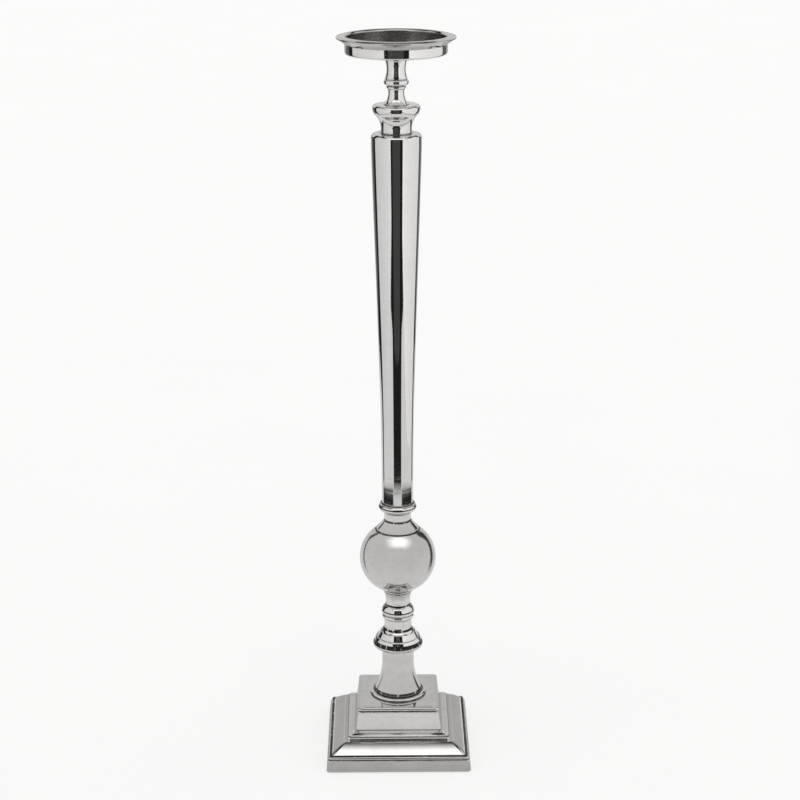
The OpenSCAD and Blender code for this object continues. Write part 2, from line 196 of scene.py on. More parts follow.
def normals_2d(line, closed):
    """Outward normals of an outline, weighted by the length of the runs on each side."""
    d = np.roll(line, -1, 0) - line
    if not closed:
        d[-1] = 0
    n = np.stack([d[:, 1], -d[:, 0]], 1)
    both = n + np.roll(n, 1, 0)
    if not closed:
        both[0], both[-1] = n[0], n[-2]
    return both / np.maximum(np.hypot(*both.T), 1e-12)[:, None]


REACH = 7 * MM


def crevice_of(line, normal, walls):
    """How far each outline point is shut in by the outlines around it, from 0 to 1."""
    a, b = walls[:, 0], walls[:, 1]
    d = b - a
    total = np.zeros(len(line))
    fan = np.radians([-72, -54, -36, -18, 0, 18, 36, 54, 72])
    for turn in fan:
        c, s = math.cos(turn), math.sin(turn)
        ray = np.stack([normal[:, 0] * c - normal[:, 1] * s, normal[:, 0] * s + normal[:, 1] * c], 1)
        for i in range(len(line)):
            near = np.abs(a[:, 1] - line[i, 1]) < REACH + np.abs(d[:, 1])
            near &= a[:, 0] > line[i, 0] - 3 * REACH
            o = line[i] + normal[i] * 0.02 * MM
            w = a[near] - o
            e = d[near]
            cross = ray[i, 0] * e[:, 1] - ray[i, 1] * e[:, 0]
            ok = np.abs(cross) > 1e-12
            if not ok.any():
                continue
            cross = np.where(ok, cross, 1.0)
            t = (w[:, 0] * e[:, 1] - w[:, 1] * e[:, 0]) / cross
            u = (w[:, 0] * ray[i, 1] - w[:, 1] * ray[i, 0]) / cross
            hit = ok & (t > 0) & (t < REACH) & (u >= 0) & (u <= 1)
            if hit.any():
                total[i] += (1 - t[hit].min() / REACH) * math.cos(turn)
    return np.clip(total / np.cos(fan).sum() * 1.5, 0, 1)


# ---------------------------------------------------------------- surfaces from outlines


def mesh_piece(name, verts, faces, normals, layers, material, node):
    """A smooth mesh that takes the place of a CAD node."""
    mesh = bpy.data.meshes.new(name)
    mesh.from_pydata([tuple(v) for v in verts], [], faces)
    for layer, values in layers.items():
        mesh.attributes.new(layer, "FLOAT", "POINT").data.foreach_set("value", np.asarray(values, np.float32))
    for p in mesh.polygons:
        p.use_smooth = True
    mesh.normals_split_custom_set_from_vertices([tuple(n) for n in normals])
    mesh.materials.append(material)
    obj = bpy.data.objects.new(name, mesh)
    scene.collection.objects.link(obj)
    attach(obj, "root")
    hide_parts(node)
    return obj


def swept(rings, closed):
    """Faces between rings of point numbers; a ring of one point is a pole."""
    faces = []
    for a, b in zip(rings, rings[1:] + rings[:1] if closed else rings[1:]):
        n = max(len(a), len(b))
        for i in range(n):
            j = (i + 1) % n
            quad = [a[i % len(a)], a[j % len(a)], b[j % len(b)], b[i % len(b)]]
            quad = [v for k, v in enumerate(quad) if v != quad[k - 1]]
            if len(quad) > 2:
                faces.append(quad)
    return faces


def turned(name, node, outline, segments, material):
    """Turns an outline about the axis."""
    line, normal, closed, layers = outline
    verts, normals, rings = [], [], []
    values = {k: [] for k in layers}
    around = 2 * np.pi * np.arange(segments) / segments
    for i, (r, z) in enumerate(line):
        angles = around if r > 1e-6 else around[:1]
        rings.append(list(range(len(verts), len(verts) + len(angles))))
        for t in angles:
            verts.append((r * math.cos(t), r * math.sin(t), z))
            nr = normal[i, 0] if len(angles) > 1 else 0.0
            normals.append((nr * math.cos(t), nr * math.sin(t), normal[i, 1]))
        for k in layers:
            values[k] += [layers[k][i]] * len(angles)
    return mesh_piece(name, verts, swept(rings, closed), normals, values, material, node)


CORNER_STEPS = 10
SIDE_STEPS = 10


def square_ring(half, corner, nx, nz):
    """Points and normals of a square with round corners, or of a circle when corner is half."""
    points, normals = [], []
    round_ring = corner >= half - 1e-6
    for quarter in range(4):
        base = quarter * math.pi / 2
        turn = Matrix.Rotation(base, 2)
        for k in range(SIDE_STEPS + CORNER_STEPS):
            if round_ring:
                t = k / (SIDE_STEPS + CORNER_STEPS) * math.pi / 2
                p, psi, lift = Vector((half * math.cos(t), half * math.sin(t))), t, 1.0
            elif k < SIDE_STEPS // 2:
                p, psi, lift = Vector((half, (half - corner) * k / (SIDE_STEPS // 2))), 0.0, 1.0
            elif k <= SIDE_STEPS // 2 + CORNER_STEPS:
                psi = (k - SIDE_STEPS // 2) / CORNER_STEPS * math.pi / 2
                p = Vector((half - corner + corner * math.cos(psi), half - corner + corner * math.sin(psi)))
                lift = math.cos(psi) + math.sin(psi)
            else:
                left = (SIDE_STEPS + CORNER_STEPS - k) / (SIDE_STEPS // 2)
                p, psi, lift = Vector(((half - corner) * left, half)), math.pi / 2, 1.0
            points.append(turn @ p)
            n = turn @ Vector((nx * math.cos(psi), nx * math.sin(psi)))
            normals.append(Vector((n[0], n[1], nz * lift)).normalized())
    return points, normals


def squared(name, node, outline, corner_of, material, extra=None):
    """Sweeps an outline round a square with softly rounded corners."""
    line, normal, closed, layers = outline
    verts, normals, rings = [], [], []
    values = {k: [] for k in layers}
    for i, (r, z) in enumerate(line):
        ring, ns = square_ring(r, corner_of(r, z), normal[i, 0], normal[i, 1])
        rings.append(list(range(len(verts), len(verts) + len(ring))))
        verts += [(p[0], p[1], z) for p in ring]
        normals += [tuple(n) for n in ns]
        for k in layers:
            values[k] += [layers[k][i]] * len(ring)
    faces = swept(rings, closed)
    if extra:
        more, more_faces, more_normals = extra
        start = len(verts)
        verts += more
        normals += more_normals
        faces += [[v + start for v in f] for f in more_faces]
        for k in layers:
            values[k] += [0.0] * len(more)
    return mesh_piece(name, verts, faces, normals, values, material, node)


# ---------------------------------------------------------------- materials


class Nodes:
    """Short way to add and join shader nodes."""

    def __init__(self, name):
        self.material = bpy.data.materials.new(name)
        self.material.use_nodes = True
        self.tree = self.material.node_tree
        self.tree.nodes.clear()

    def add(self, kind, inputs=None, **settings):
        node = self.tree.nodes.new("ShaderNode" + kind)
        for key, value in settings.items():
            setattr(node, key, value)
        for key, value in (inputs or {}).items():
            if isinstance(value, bpy.types.NodeSocket):
                self.tree.links.new(value, node.inputs[key])
            else:
                node.inputs[key].default_value = value
        return node

    def math(self, operation, a, b=0.0, clamp=False):
        return self.add("Math", {0: a, 1: b}, operation=operation, use_clamp=clamp).outputs[0]

    def stretched(self, point, scale, turn=(0, 0, 0)):
        return self.add("Mapping", {"Vector": point, "Rotation": turn, "Scale": scale}).outputs[0]

    def noise(self, vector, scale, detail=2.0, rough=0.5):
        found = self.add("TexNoise", {"Vector": vector, "Scale": scale, "Detail": detail, "Roughness": rough})
        return found.outputs["Fac"]

    def spread(self, value, low, high, to_low=0.0, to_high=1.0):
        found = self.add("MapRange", {0: value, 1: low, 2: high, 3: to_low, 4: to_high})
        found.clamp = True
        return found.outputs[0]

    def mix(self, share, a, b):
        found = self.add("Mix", {"Factor": share, 6: a, 7: b}, data_type="RGBA")
        return found.outputs[2]

    def bump(self, height, distance, normal=None):
        inputs = {"Height": height, "Strength": 1.0, "Distance": distance}
        if normal is not None:
            inputs["Normal"] = normal
        return self.add("Bump", inputs).outputs[0]


def grey(value, warm=0.0):
    """Grey colour, a little warm if asked."""
    return (value * (1 + warm), value, value * (1 - 1.4 * warm), 1.0)


def plated(
    name,
    tone,
    rough,
    haze,
    wave,
    lines,
    tarnish_and_shade=0.85,
    hollow=(0.2, 0.62),
    bead=0.0,
    soot=0.0,
    patchy=1.0,
    wear_and_highlight=0.4,
    around=True,
    scratch=1.0,
):
    """Polished plate with faint waves and tool lines, haze, tarnished hollows with painted shade in them,
    painted dark reflection bands, and scuffed bright edges with painted highlights.
    """
    n = Nodes(name)
    point = n.add("TexCoord").outputs["Object"]
    if around:
        parts = n.add("SeparateXYZ", {0: point})
        flat = n.add("CombineXYZ", {0: parts.outputs[0], 1: parts.outputs[1]}).outputs[0]
        reach = n.add("VectorMath", {0: flat}, operation="LENGTH").outputs["Value"]
        slow = n.math("MULTIPLY", parts.outputs[0], 0.02)
        along = n.add("CombineXYZ", {0: reach, 1: slow, 2: parts.outputs[2]}).outputs[0]
    else:
        along = n.stretched(point, (0.03, 0.03, 1.0))
    cloud = n.noise(point, 26, 3.0, 0.55)
    mottle = n.noise(point, 110, 4.0, 0.6)
    streak = n.noise(along, 420, 3.0, 0.6)
    fine = n.noise(along, 2600, 2.0, 0.5)
    scratch_a = n.noise(n.stretched(point, (1, 22, 1), (0.4, 0.9, 0.3)), 160, 1.0)
    scratch_b = n.noise(n.stretched(point, (1, 1, 26), (1.1, 0.2, 1.4)), 150, 1.0)
    scratched = n.math("MAXIMUM", n.spread(scratch_a, 0.735, 0.78), n.spread(scratch_b, 0.74, 0.785))
    shut_in = n.add("Attribute", attribute_name="crevice").outputs["Fac"]
    edge = n.add("Attribute", attribute_name="edge").outputs["Fac"]
    # painted shade: the hollows darken with how shut in they are, part tarnish and part the shade that falls
    # in them
    tarnish_and_shade_mask = n.math("MULTIPLY", n.spread(shut_in, *hollow), n.spread(mottle, 0.25, 0.7, 0.6, 1.0), True)
    # painted reflection and painted shade: dark bands on the beads and quirks, broken by lighter ticks
    if bead:
        shade = n.add("Attribute", attribute_name="bead").outputs["Fac"]
        band_ticks = n.noise(n.stretched(point, (1, 1, 0.1)), 240, 2.0, 0.7)
        shade = n.math("MULTIPLY", n.spread(shade, 0.1, 0.9), n.spread(band_ticks, 0.58, 0.66, bead, bead * 0.2))
        tarnish_and_shade_mask = n.math("MAXIMUM", n.math("MULTIPLY", tarnish_and_shade_mask, tarnish_and_shade), shade)
    else:
        tarnish_and_shade_mask = n.math("MULTIPLY", tarnish_and_shade_mask, tarnish_and_shade)
    # wear and painted highlights: convex corners and the bright bands are lightened
    wear_and_highlight_mask = n.math("MULTIPLY", n.spread(edge, 0.1, 0.9), n.spread(mottle, 0.3, 0.5, 0.5, 1.0), True)

    darker, lighter = grey(tone * (1 - 0.035 * patchy), 0.012), grey(tone * (1 + 0.03 * patchy), 0.004)
    clean = n.mix(n.spread(cloud, 0.3, 0.7), darker, lighter)
    spots = n.math("MULTIPLY", n.spread(mottle, 0.45, 0.75), 0.25 * patchy)
    clean = n.mix(spots, clean, grey(tone * 0.8, 0.012))
    hazy = n.math("MULTIPLY", n.spread(streak, 0.35, 0.75), haze * 0.7)
    clean = n.mix(hazy, clean, grey(tone * 0.86, 0.01))
    dull = n.mix(tarnish_and_shade_mask, clean, grey(0.03, 0.08))
    colour = n.mix(n.math("MULTIPLY", wear_and_highlight_mask, wear_and_highlight), dull, grey(min(0.95, tone * 1.25), 0.004))
    if soot:
        inside = n.add("Attribute", attribute_name="inside").outputs["Fac"]
        sooty = n.spread(cloud, 0.35, 0.65, soot, soot * 0.75)
        inside = n.math("MULTIPLY", n.spread(inside, 0.2, 0.8), sooty)
        colour = n.mix(inside, colour, grey(0.14, 0.03))

    roughness = n.spread(cloud, 0.3, 0.72, rough * 0.75, rough * 1.3)
    roughness = n.math("ADD", roughness, n.spread(streak, 0.4, 0.75, 0.0, haze * 0.16))
    roughness = n.math("ADD", roughness, n.math("MULTIPLY", tarnish_and_shade_mask, 0.35))
    if soot:
        roughness = n.math("ADD", roughness, n.math("MULTIPLY", n.spread(inside, 0.35, 0.6), 0.2))
    roughness = n.math("ADD", roughness, n.math("MULTIPLY", scratched, 0.14 * scratch), True)

    normal = n.bump(n.noise(point, 42, 2.0, 0.4), wave * MM)
    normal = n.bump(mottle, wave * 0.16 * MM, normal)
    normal = n.bump(n.math("ADD", fine, n.math("MULTIPLY", streak, 2.0)), lines * MM, normal)
    normal = n.bump(n.math("MULTIPLY", scratched, -1.0), 0.006 * scratch * MM, normal)
    inputs = {"Base Color": colour, "Metallic": 1.0, "Roughness": roughness, "Normal": normal}
    shader = n.add("BsdfPrincipled", inputs)
    n.add("OutputMaterial", {"Surface": shader.outputs[0]})
    return n.material


def zinced(name):
    """Zinc-plated fastener steel, spangled and dull."""
    n = Nodes(name)
    point = n.add("TexCoord").outputs["Object"]
    spangle = n.add("TexVoronoi", {"Vector": point, "Scale": 700.0}).outputs["Distance"]
    cloud = n.noise(point, 180, 4.0)
    colour = n.mix(n.spread(cloud, 0.3, 0.7), (0.36, 0.37, 0.38, 1), (0.52, 0.52, 0.50, 1))
    rough = n.math("ADD", n.spread(spangle, 0.0, 0.8, 0.26, 0.42), n.spread(cloud, 0.4, 0.7, 0.0, 0.12))
    normal = n.bump(n.noise(n.stretched(point, (1, 1, 12)), 300, 2.0), 0.02 * MM)
    inputs = {"Base Color": colour, "Metallic": 1.0, "Roughness": rough, "Normal": normal}
    shader = n.add("BsdfPrincipled", inputs)
    n.add("OutputMaterial", {"Surface": shader.outputs[0]})
    return n.material


def felted(name):
    """Pressed wool felt: short matted fibres with lint."""
    n = Nodes(name)
    point = n.add("TexCoord").outputs["Object"]
    fibre = n.noise(n.stretched(point, (1, 1, 0.4)), 2400, 6.0, 0.75)
    clump = n.noise(point, 420, 4.0, 0.6)
    colour = n.mix(n.spread(fibre, 0.35, 0.7), (0.035, 0.035, 0.038, 1), (0.12, 0.12, 0.125, 1))
    colour = n.mix(n.spread(clump, 0.55, 0.75), colour, (0.17, 0.165, 0.16, 1))
    normal = n.bump(fibre, 0.25 * MM, n.bump(clump, 0.2 * MM))
    inputs = {"Base Color": colour, "Roughness": 0.95, "Normal": normal}
    inputs.update({"Sheen Weight": 0.35, "Sheen Roughness": 0.6})
    shader = n.add("BsdfPrincipled", inputs)
    n.add("OutputMaterial", {"Surface": shader.outputs[0]})
    return n.material


TONE = 0.72
SATIN = dict(bead=0.95, patchy=1.8)
cast = plated(
    "cast_foot_plate", TONE, 0.06, 0.4, 0.04, 0.0007,
    tarnish_and_shade=0.9, hollow=(0.5, 0.85), bead=0.95, patchy=1.6, wear_and_highlight=1.0, around=False,
)
stem_plate = plated("satin_stem_plate", TONE, 0.1, 0.35, 0.05, 0.0008, hollow=(0.16, 0.5), **SATIN)
turned_plate = plated("turned_plate", TONE * 1.03, 0.06, 0.25, 0.04, 0.0006, hollow=(0.16, 0.5), bead=1.0)
cup_plate = plated("cup_plate", TONE * 1.03, 0.07, 0.3, 0.03, 0.0006, hollow=(0.18, 0.55), bead=0.95)
cap_plate = plated("cap_plate", TONE * 1.03, 0.06, 0.3, 0.03, 0.0006, hollow=(0.18, 0.55))
column_plate = plated("column_plate", TONE, 0.03, 0.3, 0.03, 0.0004, hollow=(0.12, 0.5), scratch=0.3)
ball_plate = plated("satin_ball_plate", TONE, 0.1, 0.35, 0.05, 0.0008, hollow=(0.2, 0.55), **SATIN)
bright = plated("bright_plate", TONE * 1.08, 0.045, 0.2, 0.03, 0.0006)
pan_plate = plated("pan_plate", TONE * 1.06, 0.05, 0.25, 0.03, 0.0006, soot=0.7)
steel = zinced("zinced_steel")
felt = felted("dark_felt")

# ---------------------------------------------------------------- the candlestick

# angle of the half plane that cuts the turned pieces, clear of the corners of their facets
SLICE = 0.0123
# material, slot and the radius in mm that softens the sharp corners
PIECES = {
    "stem_foot": (stem_plate, "polished_plate", 0.45),
    "collar": (turned_plate, "polished_plate", 0.4),
    "knop": (turned_plate, "polished_plate", 0.4),
    "ball_cup": (cup_plate, "polished_plate", 0.3),
    "ball": (ball_plate, "polished_plate", 0.3),
    "bell_cap": (cup_plate, "polished_plate", 0.3),
    "column_ring": (turned_plate, "polished_plate", 0.35),
    "column": (column_plate, "polished_plate", 0.5),
    "column_cap": (cap_plate, "polished_plate", 0.3),
    "spindle": (bright, "bright_plate", 0.35),
    "drip_pan": (pan_plate, "bright_plate", 0.35),
    "base_plinth": (cast, "cast_plate", 0.55),
    "base_block": (cast, "cast_plate", 0.5),
}
SQUARE = ("base_plinth", "base_block")
outlines = {}
for node, (_, _, radius) in PIECES.items():
    line, closed = section(node, 0.0, 0.2 * MM) if node in SQUARE else section(node, SLICE)
    line = simplified(line, closed)
    line, mark = softened(line, closed, radius * MM)
    line, mark = refined(line, mark, closed, 9 * MM)
    outlines[node] = (line, mark, closed)


def walls_of(nodes):
    """All the outline runs of some pieces, as pairs of points."""
    runs = []
    for node in nodes:
        line, _, closed = outlines[node]
        pairs = np.stack([line, np.roll(line, -1, 0)], 1)
        runs.append(pairs if closed else pairs[:-1])
    return np.concatenate(runs)


square_walls, all_walls = walls_of(SQUARE), walls_of(outlines)

# radius inside which the pan's outline is its dish
MOUTH = 52.1 * MM
# bores and sockets lie inside this radius, and get no painted rings
BORES = 12 * MM


def above(node, *spans):
    """Height ranges over the lowest point of a piece, given in mm."""
    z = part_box(node)[0][2]
    return tuple((z + low * MM, z + high * MM) for low, high in spans)


# painted dark reflections and painted shade lines on the beads, in the creases and in the quirks of the foot
PAINTED_DARK_BANDS = {
    "base_plinth": above("base_plinth", (12.6, 13.2), (16.95, 17.7), (31.0, 32.0)),
    "base_block": above("base_block", (-0.1, 0.8), (20.0, 21.1)),
    "stem_foot": above("stem_foot", (7.3, 10.2)),
    "collar": above("collar", (10.0, 14.6), (26.8, 29.3)),
    "knop": above("knop", (21.5, 22.8), (28.3, 30.4)),
    "ball_cup": above("ball_cup", (15.8, 16.9)),
    "ball": above("bell_cap", (-1.1, 0.3)),
    "bell_cap": above("bell_cap", (9.8, 12.0)),
    "column_ring": above("column_ring", (10.8, 11.9), (17.0, 18.3)),
}
# painted highlights: bright lines of reflected light on the arrises of the foot and the stem foot
PAINTED_BRIGHT_BANDS = {
    "stem_foot": above("stem_foot", (4.4, 6.2)),
    "base_plinth": above("base_plinth", (13.6, 14.9), (32.2, 33.4), (34.2, 35.0)),
    "base_block": above("base_block", (21.9, 23.6), (25.4, 26.2)),
}


def band_of(line, lows):
    """1 inside each painted dark or bright ring on the outer side of a turned outline, with soft ends."""
    found = np.zeros(len(line))
    for low, high in lows:
        inside = np.minimum(line[:, 1] - low, high - line[:, 1])
        found = np.maximum(found, np.clip(inside / (0.3 * MM) + 0.5, 0, 1))
    return found * (line[:, 0] > BORES)


def ringed(line, mark, lows):
    """Adds outline points at the ends of the painted rings, so that they fade over a short way."""
    edges = sorted({e + d for low, high in lows for e in (low, high) for d in (-0.2 * MM, 0.2 * MM)})
    out, marks = [], []
    for i in range(len(line)):
        p, q = line[i], line[(i + 1) % len(line)]
        out.append(p), marks.append(mark[i])
        if abs(q[1] - p[1]) < 1e-9:
            continue
        cuts = sorted((e - p[1]) / (q[1] - p[1]) for e in edges if min(p[1], q[1]) < e < max(p[1], q[1]))
        for c in cuts:
            out.append(p + c * (q - p)), marks.append((1 - c) * mark[i] + c * mark[(i + 1) % len(line)])
    return np.array(out), np.array(marks)


def finished(node):
    """Outline of a piece with its normals and the layers that its material reads."""
    line, mark, closed = outlines[node]
    lows, bright_bands = PAINTED_DARK_BANDS.get(node, ()), PAINTED_BRIGHT_BANDS.get(node, ())
    if lows:
        line, mark = ringed(line, mark, lows + bright_bands)
    normal = normals_2d(line, closed)
    walls = square_walls if node in SQUARE else all_walls
    # layers for the material: tarnish with painted shade in the hollows, wear with painted highlights on the
    # corners, painted dark reflection bands
    layers = {"crevice": crevice_of(line, normal, walls), "edge": np.clip(mark, 0, 1)}
    if lows:
        layers["bead"] = band_of(line, lows)
    if bright_bands:
        layers["edge"] = np.maximum(layers["edge"], band_of(line, bright_bands))
    if node == "drip_pan":
        low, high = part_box(node)[0][2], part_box(node)[1][2]
        dish = (line[:, 0] < MOUTH) & (line[:, 1] > low + 1 * MM) & (line[:, 1] < high - 1.4 * MM)
        layers["inside"] = np.where(dish, 1.0, (line[:, 1] > high - 9.5 * MM) * 0.5)
    return line, normal, closed, layers


SEGMENTS = {"drip_pan": 192, "column": 144, "ball": 160}
for node, (material, slot, _) in PIECES.items():
    if node not in SQUARE:
        turned(node + "_turned", node, finished(node), SEGMENTS.get(node, 128), material)

# The foot: round where the outline is the register or the rod's bore, and square elsewhere
PLAN_CORNER = 3.4 * MM
register = max(p[0] for p in outlines["base_plinth"][0] if p[1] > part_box("base_block")[0][2] + 1 * MM)


def plinth_corner(r, z):
    """Plan corner of the plinth; its own radius where it is round."""
    if r < 6 * MM or (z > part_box("base_block")[0][2] - 1.2 * MM and r < register + 0.5 * MM):
        return r
    return min(PLAN_CORNER, r)


def block_corner(r, z):
    """Plan corner of the block, which is round at its bore only."""
    return r if r < BORES else PLAN_CORNER


POST_R, POST_H, PAD_R = 9 * MM, 14 * MM, 7 * MM


def boss_mesh():
    """Four short posts in the hollow foot that carry the felt pads."""
    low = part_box("felt_pads")[1][2]
    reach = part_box("felt_pads")[1][0]
    count = 32
    verts, faces, normals = [], [], []
    for sx in (-1, 1):
        for sy in (-1, 1):
            cx, cy = sx * (reach - PAD_R), sy * (reach - PAD_R)
            start = len(verts)
            for z in (low, low + POST_H):
                for k in range(count):
                    t = 2 * math.pi * k / count
                    verts.append((cx + POST_R * math.cos(t), cy + POST_R * math.sin(t), z))
                    normals.append((math.cos(t), math.sin(t), 0))
            for k in range(count):
                after = (k + 1) % count
                faces.append([start + k, start + after, start + count + after, start + count + k])
            for z, flip in ((low, -1), (low + POST_H, 1)):
                ring = len(verts)
                for k in range(count):
                    t = 2 * math.pi * k / count
                    verts.append((cx + POST_R * math.cos(t), cy + POST_R * math.sin(t), z))
                    normals.append((0, 0, flip))
                faces.append(list(range(ring, ring + count))[::flip])
    return verts, faces, normals


plinth, block = finished("base_plinth"), finished("base_block")
squared("base_plinth_cast", "base_plinth", plinth, plinth_corner, cast, boss_mesh())
squared("base_block_cast", "base_block", block, block_corner, cast)

for node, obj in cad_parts.items():
    if node not in PIECES:
        obj.data.materials.clear()
        obj.data.materials.append(felt if node == "felt_pads" else steel)

# ---------------------------------------------------------------- camera

# focal length in pixels of an image this wide
FOCAL, IMAGE, SENSOR = 2019.75, 800, 36.0
AWAY, HIGH = 2.0876, 1.0656
DOWN, TILT, YAW, AIM = (math.radians(a) for a in (17.495, -0.158, 0.352, 0.083))
camera = bpy.data.objects.new("camera", bpy.data.cameras.new("camera"))
scene.collection.objects.link(camera)
scene.camera = camera
camera.data.sensor_width = SENSOR
camera.data.lens = FOCAL / IMAGE * SENSOR
camera.data.clip_start, camera.data.clip_end = 0.05, 60.0
place = Matrix.Rotation(-YAW, 4, "Z") @ Matrix.Translation((0, -AWAY, HIGH))
aim = Matrix.Rotation(-AIM, 4, "Z") @ Matrix.Rotation(math.pi / 2 - DOWN, 4, "X")
camera.matrix_world = place @ (aim @ Matrix.Rotation(TILT, 4, "Z"))

# ---------------------------------------------------------------- floor and studio

# The cards below are seen by glossy rays only, and each by one group of pieces. They stand
# where the bright and dark strips of the photograph call for them.
silk = bpy.data.collections.new("silk_pieces")
polished = bpy.data.collections.new("polished_pieces")
ball_only = bpy.data.collections.new("ball_only")
SILK = ("ball", "stem_foot", "bell_cap")
for node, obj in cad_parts.items():
    if node not in PIECES:
        polished.objects.link(obj)
    elif node in SQUARE:
        polished.objects.link(bpy.data.objects[node + "_cast"])
    else:
        (silk if node in SILK else polished).objects.link(bpy.data.objects[node + "_turned"])
ball_only.objects.link(bpy.data.objects["ball_turned"])


GLOW = (1.0, 0.99, 0.975, 1)


def card(name, corners, low, high=None, soft=(0.08, 0.08), pieces=polished, shaded=None):
    """A glowing card that only the given pieces see; low and high are its strengths at its two ends."""
    mesh = bpy.data.meshes.new(name)
    mesh.from_pydata(corners, [], [(0, 1, 2, 3)])
    layer = mesh.uv_layers.new(name="UVMap")
    for loop, uv in zip(layer.data, ((0, 0), (1, 0), (1, 1), (0, 1))):
        loop.uv = uv
    n = Nodes(name)
    uv = n.add("SeparateXYZ", {0: n.add("TexCoord").outputs["UV"]})
    share = 1.0
    for axis, width in enumerate(soft):
        if width:
            a = n.spread(uv.outputs[axis], 0.0, width)
            b = n.spread(uv.outputs[axis], 1.0, 1.0 - width)
            share = n.math("MULTIPLY", share, n.math("MULTIPLY", a, b))
    strength = n.spread(uv.outputs[0], 0.0, 1.0, low, low if high is None else high)
    if shaded:
        share = n.math("MULTIPLY", share, shaded(n))
    glow = n.add("Emission", {"Color": GLOW, "Strength": n.math("MULTIPLY", strength, share)})
    n.add("OutputMaterial", {"Surface": glow.outputs[0]})
    mesh.materials.append(n.material)
    obj = bpy.data.objects.new(name, mesh)
    scene.collection.objects.link(obj)
    obj.visible_camera = obj.visible_shadow = obj.visible_diffuse = False
    obj.light_linking.receiver_collection = pieces


def clear_glow(name, verts, faces, centre, strength_of, pieces):
    """A glow that lets everything behind it show through, and lights only the given pieces."""
    mesh = bpy.data.meshes.new(name)
    mesh.from_pydata(verts, [], faces)
    n = Nodes(name)
    glow = n.add("Emission", {"Color": GLOW, "Strength": strength_of(n)})
    clear = n.add("BsdfTransparent")
    both = n.add("AddShader", {0: glow.outputs[0], 1: clear.outputs[0]})
    n.add("OutputMaterial", {"Surface": both.outputs[0]})
    mesh.materials.append(n.material)
    obj = bpy.data.objects.new(name, mesh)
    scene.collection.objects.link(obj)
    obj.location = centre
    obj.visible_camera = obj.visible_shadow = obj.visible_diffuse = False
    obj.light_linking.receiver_collection = pieces


DOME = 0.7
SILK_GREY = 0.66
FACING = (0.0, -math.cos(math.radians(22)), math.sin(math.radians(22)))


def dome_mesh(drop):
    """Dome round a point at the height drop, closed by a floor at the table."""
    rings, around = 16, 32
    low = math.asin(drop / DOME)
    verts, faces = [], []
    for i in range(rings + 1):
        up = -low + (math.pi / 2 + low) * i / rings
        for k in range(around):
            t, out = 2 * math.pi * k / around, DOME * math.cos(up)
            verts.append((out * math.cos(t), out * math.sin(t), DOME * math.sin(up)))
    for i in range(rings):
        for k in range(around):
            j = (k + 1) % around
            low_row, high_row = i * around, (i + 1) * around
            faces.append((low_row + k, low_row + j, high_row + j, high_row + k))
    faces.append(tuple(range(around)))
    return verts, faces


def silk_strength(n):
    """Even grey, with a dark frame round the part behind the candlestick."""
    toward = n.add("VectorMath", {0: n.add("TexCoord").outputs["Object"]}, operation="NORMALIZE").outputs[0]
    parts = n.add("SeparateXYZ", {0: toward}).outputs
    facing = n.add("VectorMath", {0: toward, 1: FACING}, operation="DOT_PRODUCT").outputs["Value"]
    behind = n.math("SUBTRACT", facing, n.spread(parts[2], 0.25, 0.6, 0.0, 0.26))
    wider = n.spread(parts[0], -0.2, 0.4, 0.0, 0.065)
    inner = n.spread(n.math("SUBTRACT", behind, wider), -0.50, -0.475, 1.0, 0.0)
    outer = n.spread(n.math("ADD", behind, wider), -0.60, -0.575)
    frame_line = n.math("MULTIPLY", n.math("MULTIPLY", inner, outer), n.spread(parts[2], -0.6, -0.35))
    grey_now = n.spread(parts[2], -0.9, 0.2, SILK_GREY * 1.12, SILK_GREY)
    return n.math("MULTIPLY", grey_now, n.spread(frame_line, 0.0, 1.0, 1.0, 0.08))


def glare_strength(n):
    """Soft bright patch, strongest in its middle."""
    parts = n.add("SeparateXYZ", {0: n.add("TexCoord").outputs["Object"]}).outputs
    across = n.spread(n.math("ABSOLUTE", n.math("SUBTRACT", parts[0], 0.05)), 0.10, 0.42, 1.0, 0.0)
    along = n.spread(n.math("ABSOLUTE", parts[1]), 0.10, 0.28, 1.0, 0.0)
    return n.math("MULTIPLY", n.math("MULTIPLY", across, along), 0.9)


def floor_material():
    """Pale matt floor that glows a little, so that it stays even."""
    n = Nodes("pale_floor")
    point = n.add("TexCoord").outputs["Object"]
    shade = n.noise(point, 3.0, 3.0)
    colour = n.mix(shade, (0.53, 0.53, 0.527, 1), (0.56, 0.56, 0.556, 1))
    matt = n.add("BsdfDiffuse", {"Color": colour, "Roughness": 0.6})
    glow = n.add("Emission", {"Color": (1.0, 1.0, 0.995, 1), "Strength": 0.62})
    both = n.add("AddShader", {0: matt.outputs[0], 1: glow.outputs[0]})
    n.add("OutputMaterial", {"Surface": both.outputs[0]})
    return n.material


FLOOR, FLOOR_Z = 12.0, -0.0002
SQUARE_OF = ((-1, -1), (1, -1), (1, 1), (-1, 1))
floor_mesh = bpy.data.meshes.new("floor")
floor_mesh.from_pydata([(x * FLOOR, y * FLOOR, 0) for x, y in SQUARE_OF], [], [(0, 1, 2, 3)])
floor_mesh.materials.append(floor_material())
floor = bpy.data.objects.new("floor", floor_mesh)
scene.collection.objects.link(floor)
floor.location.z = FLOOR_Z
floor.visible_glossy = False

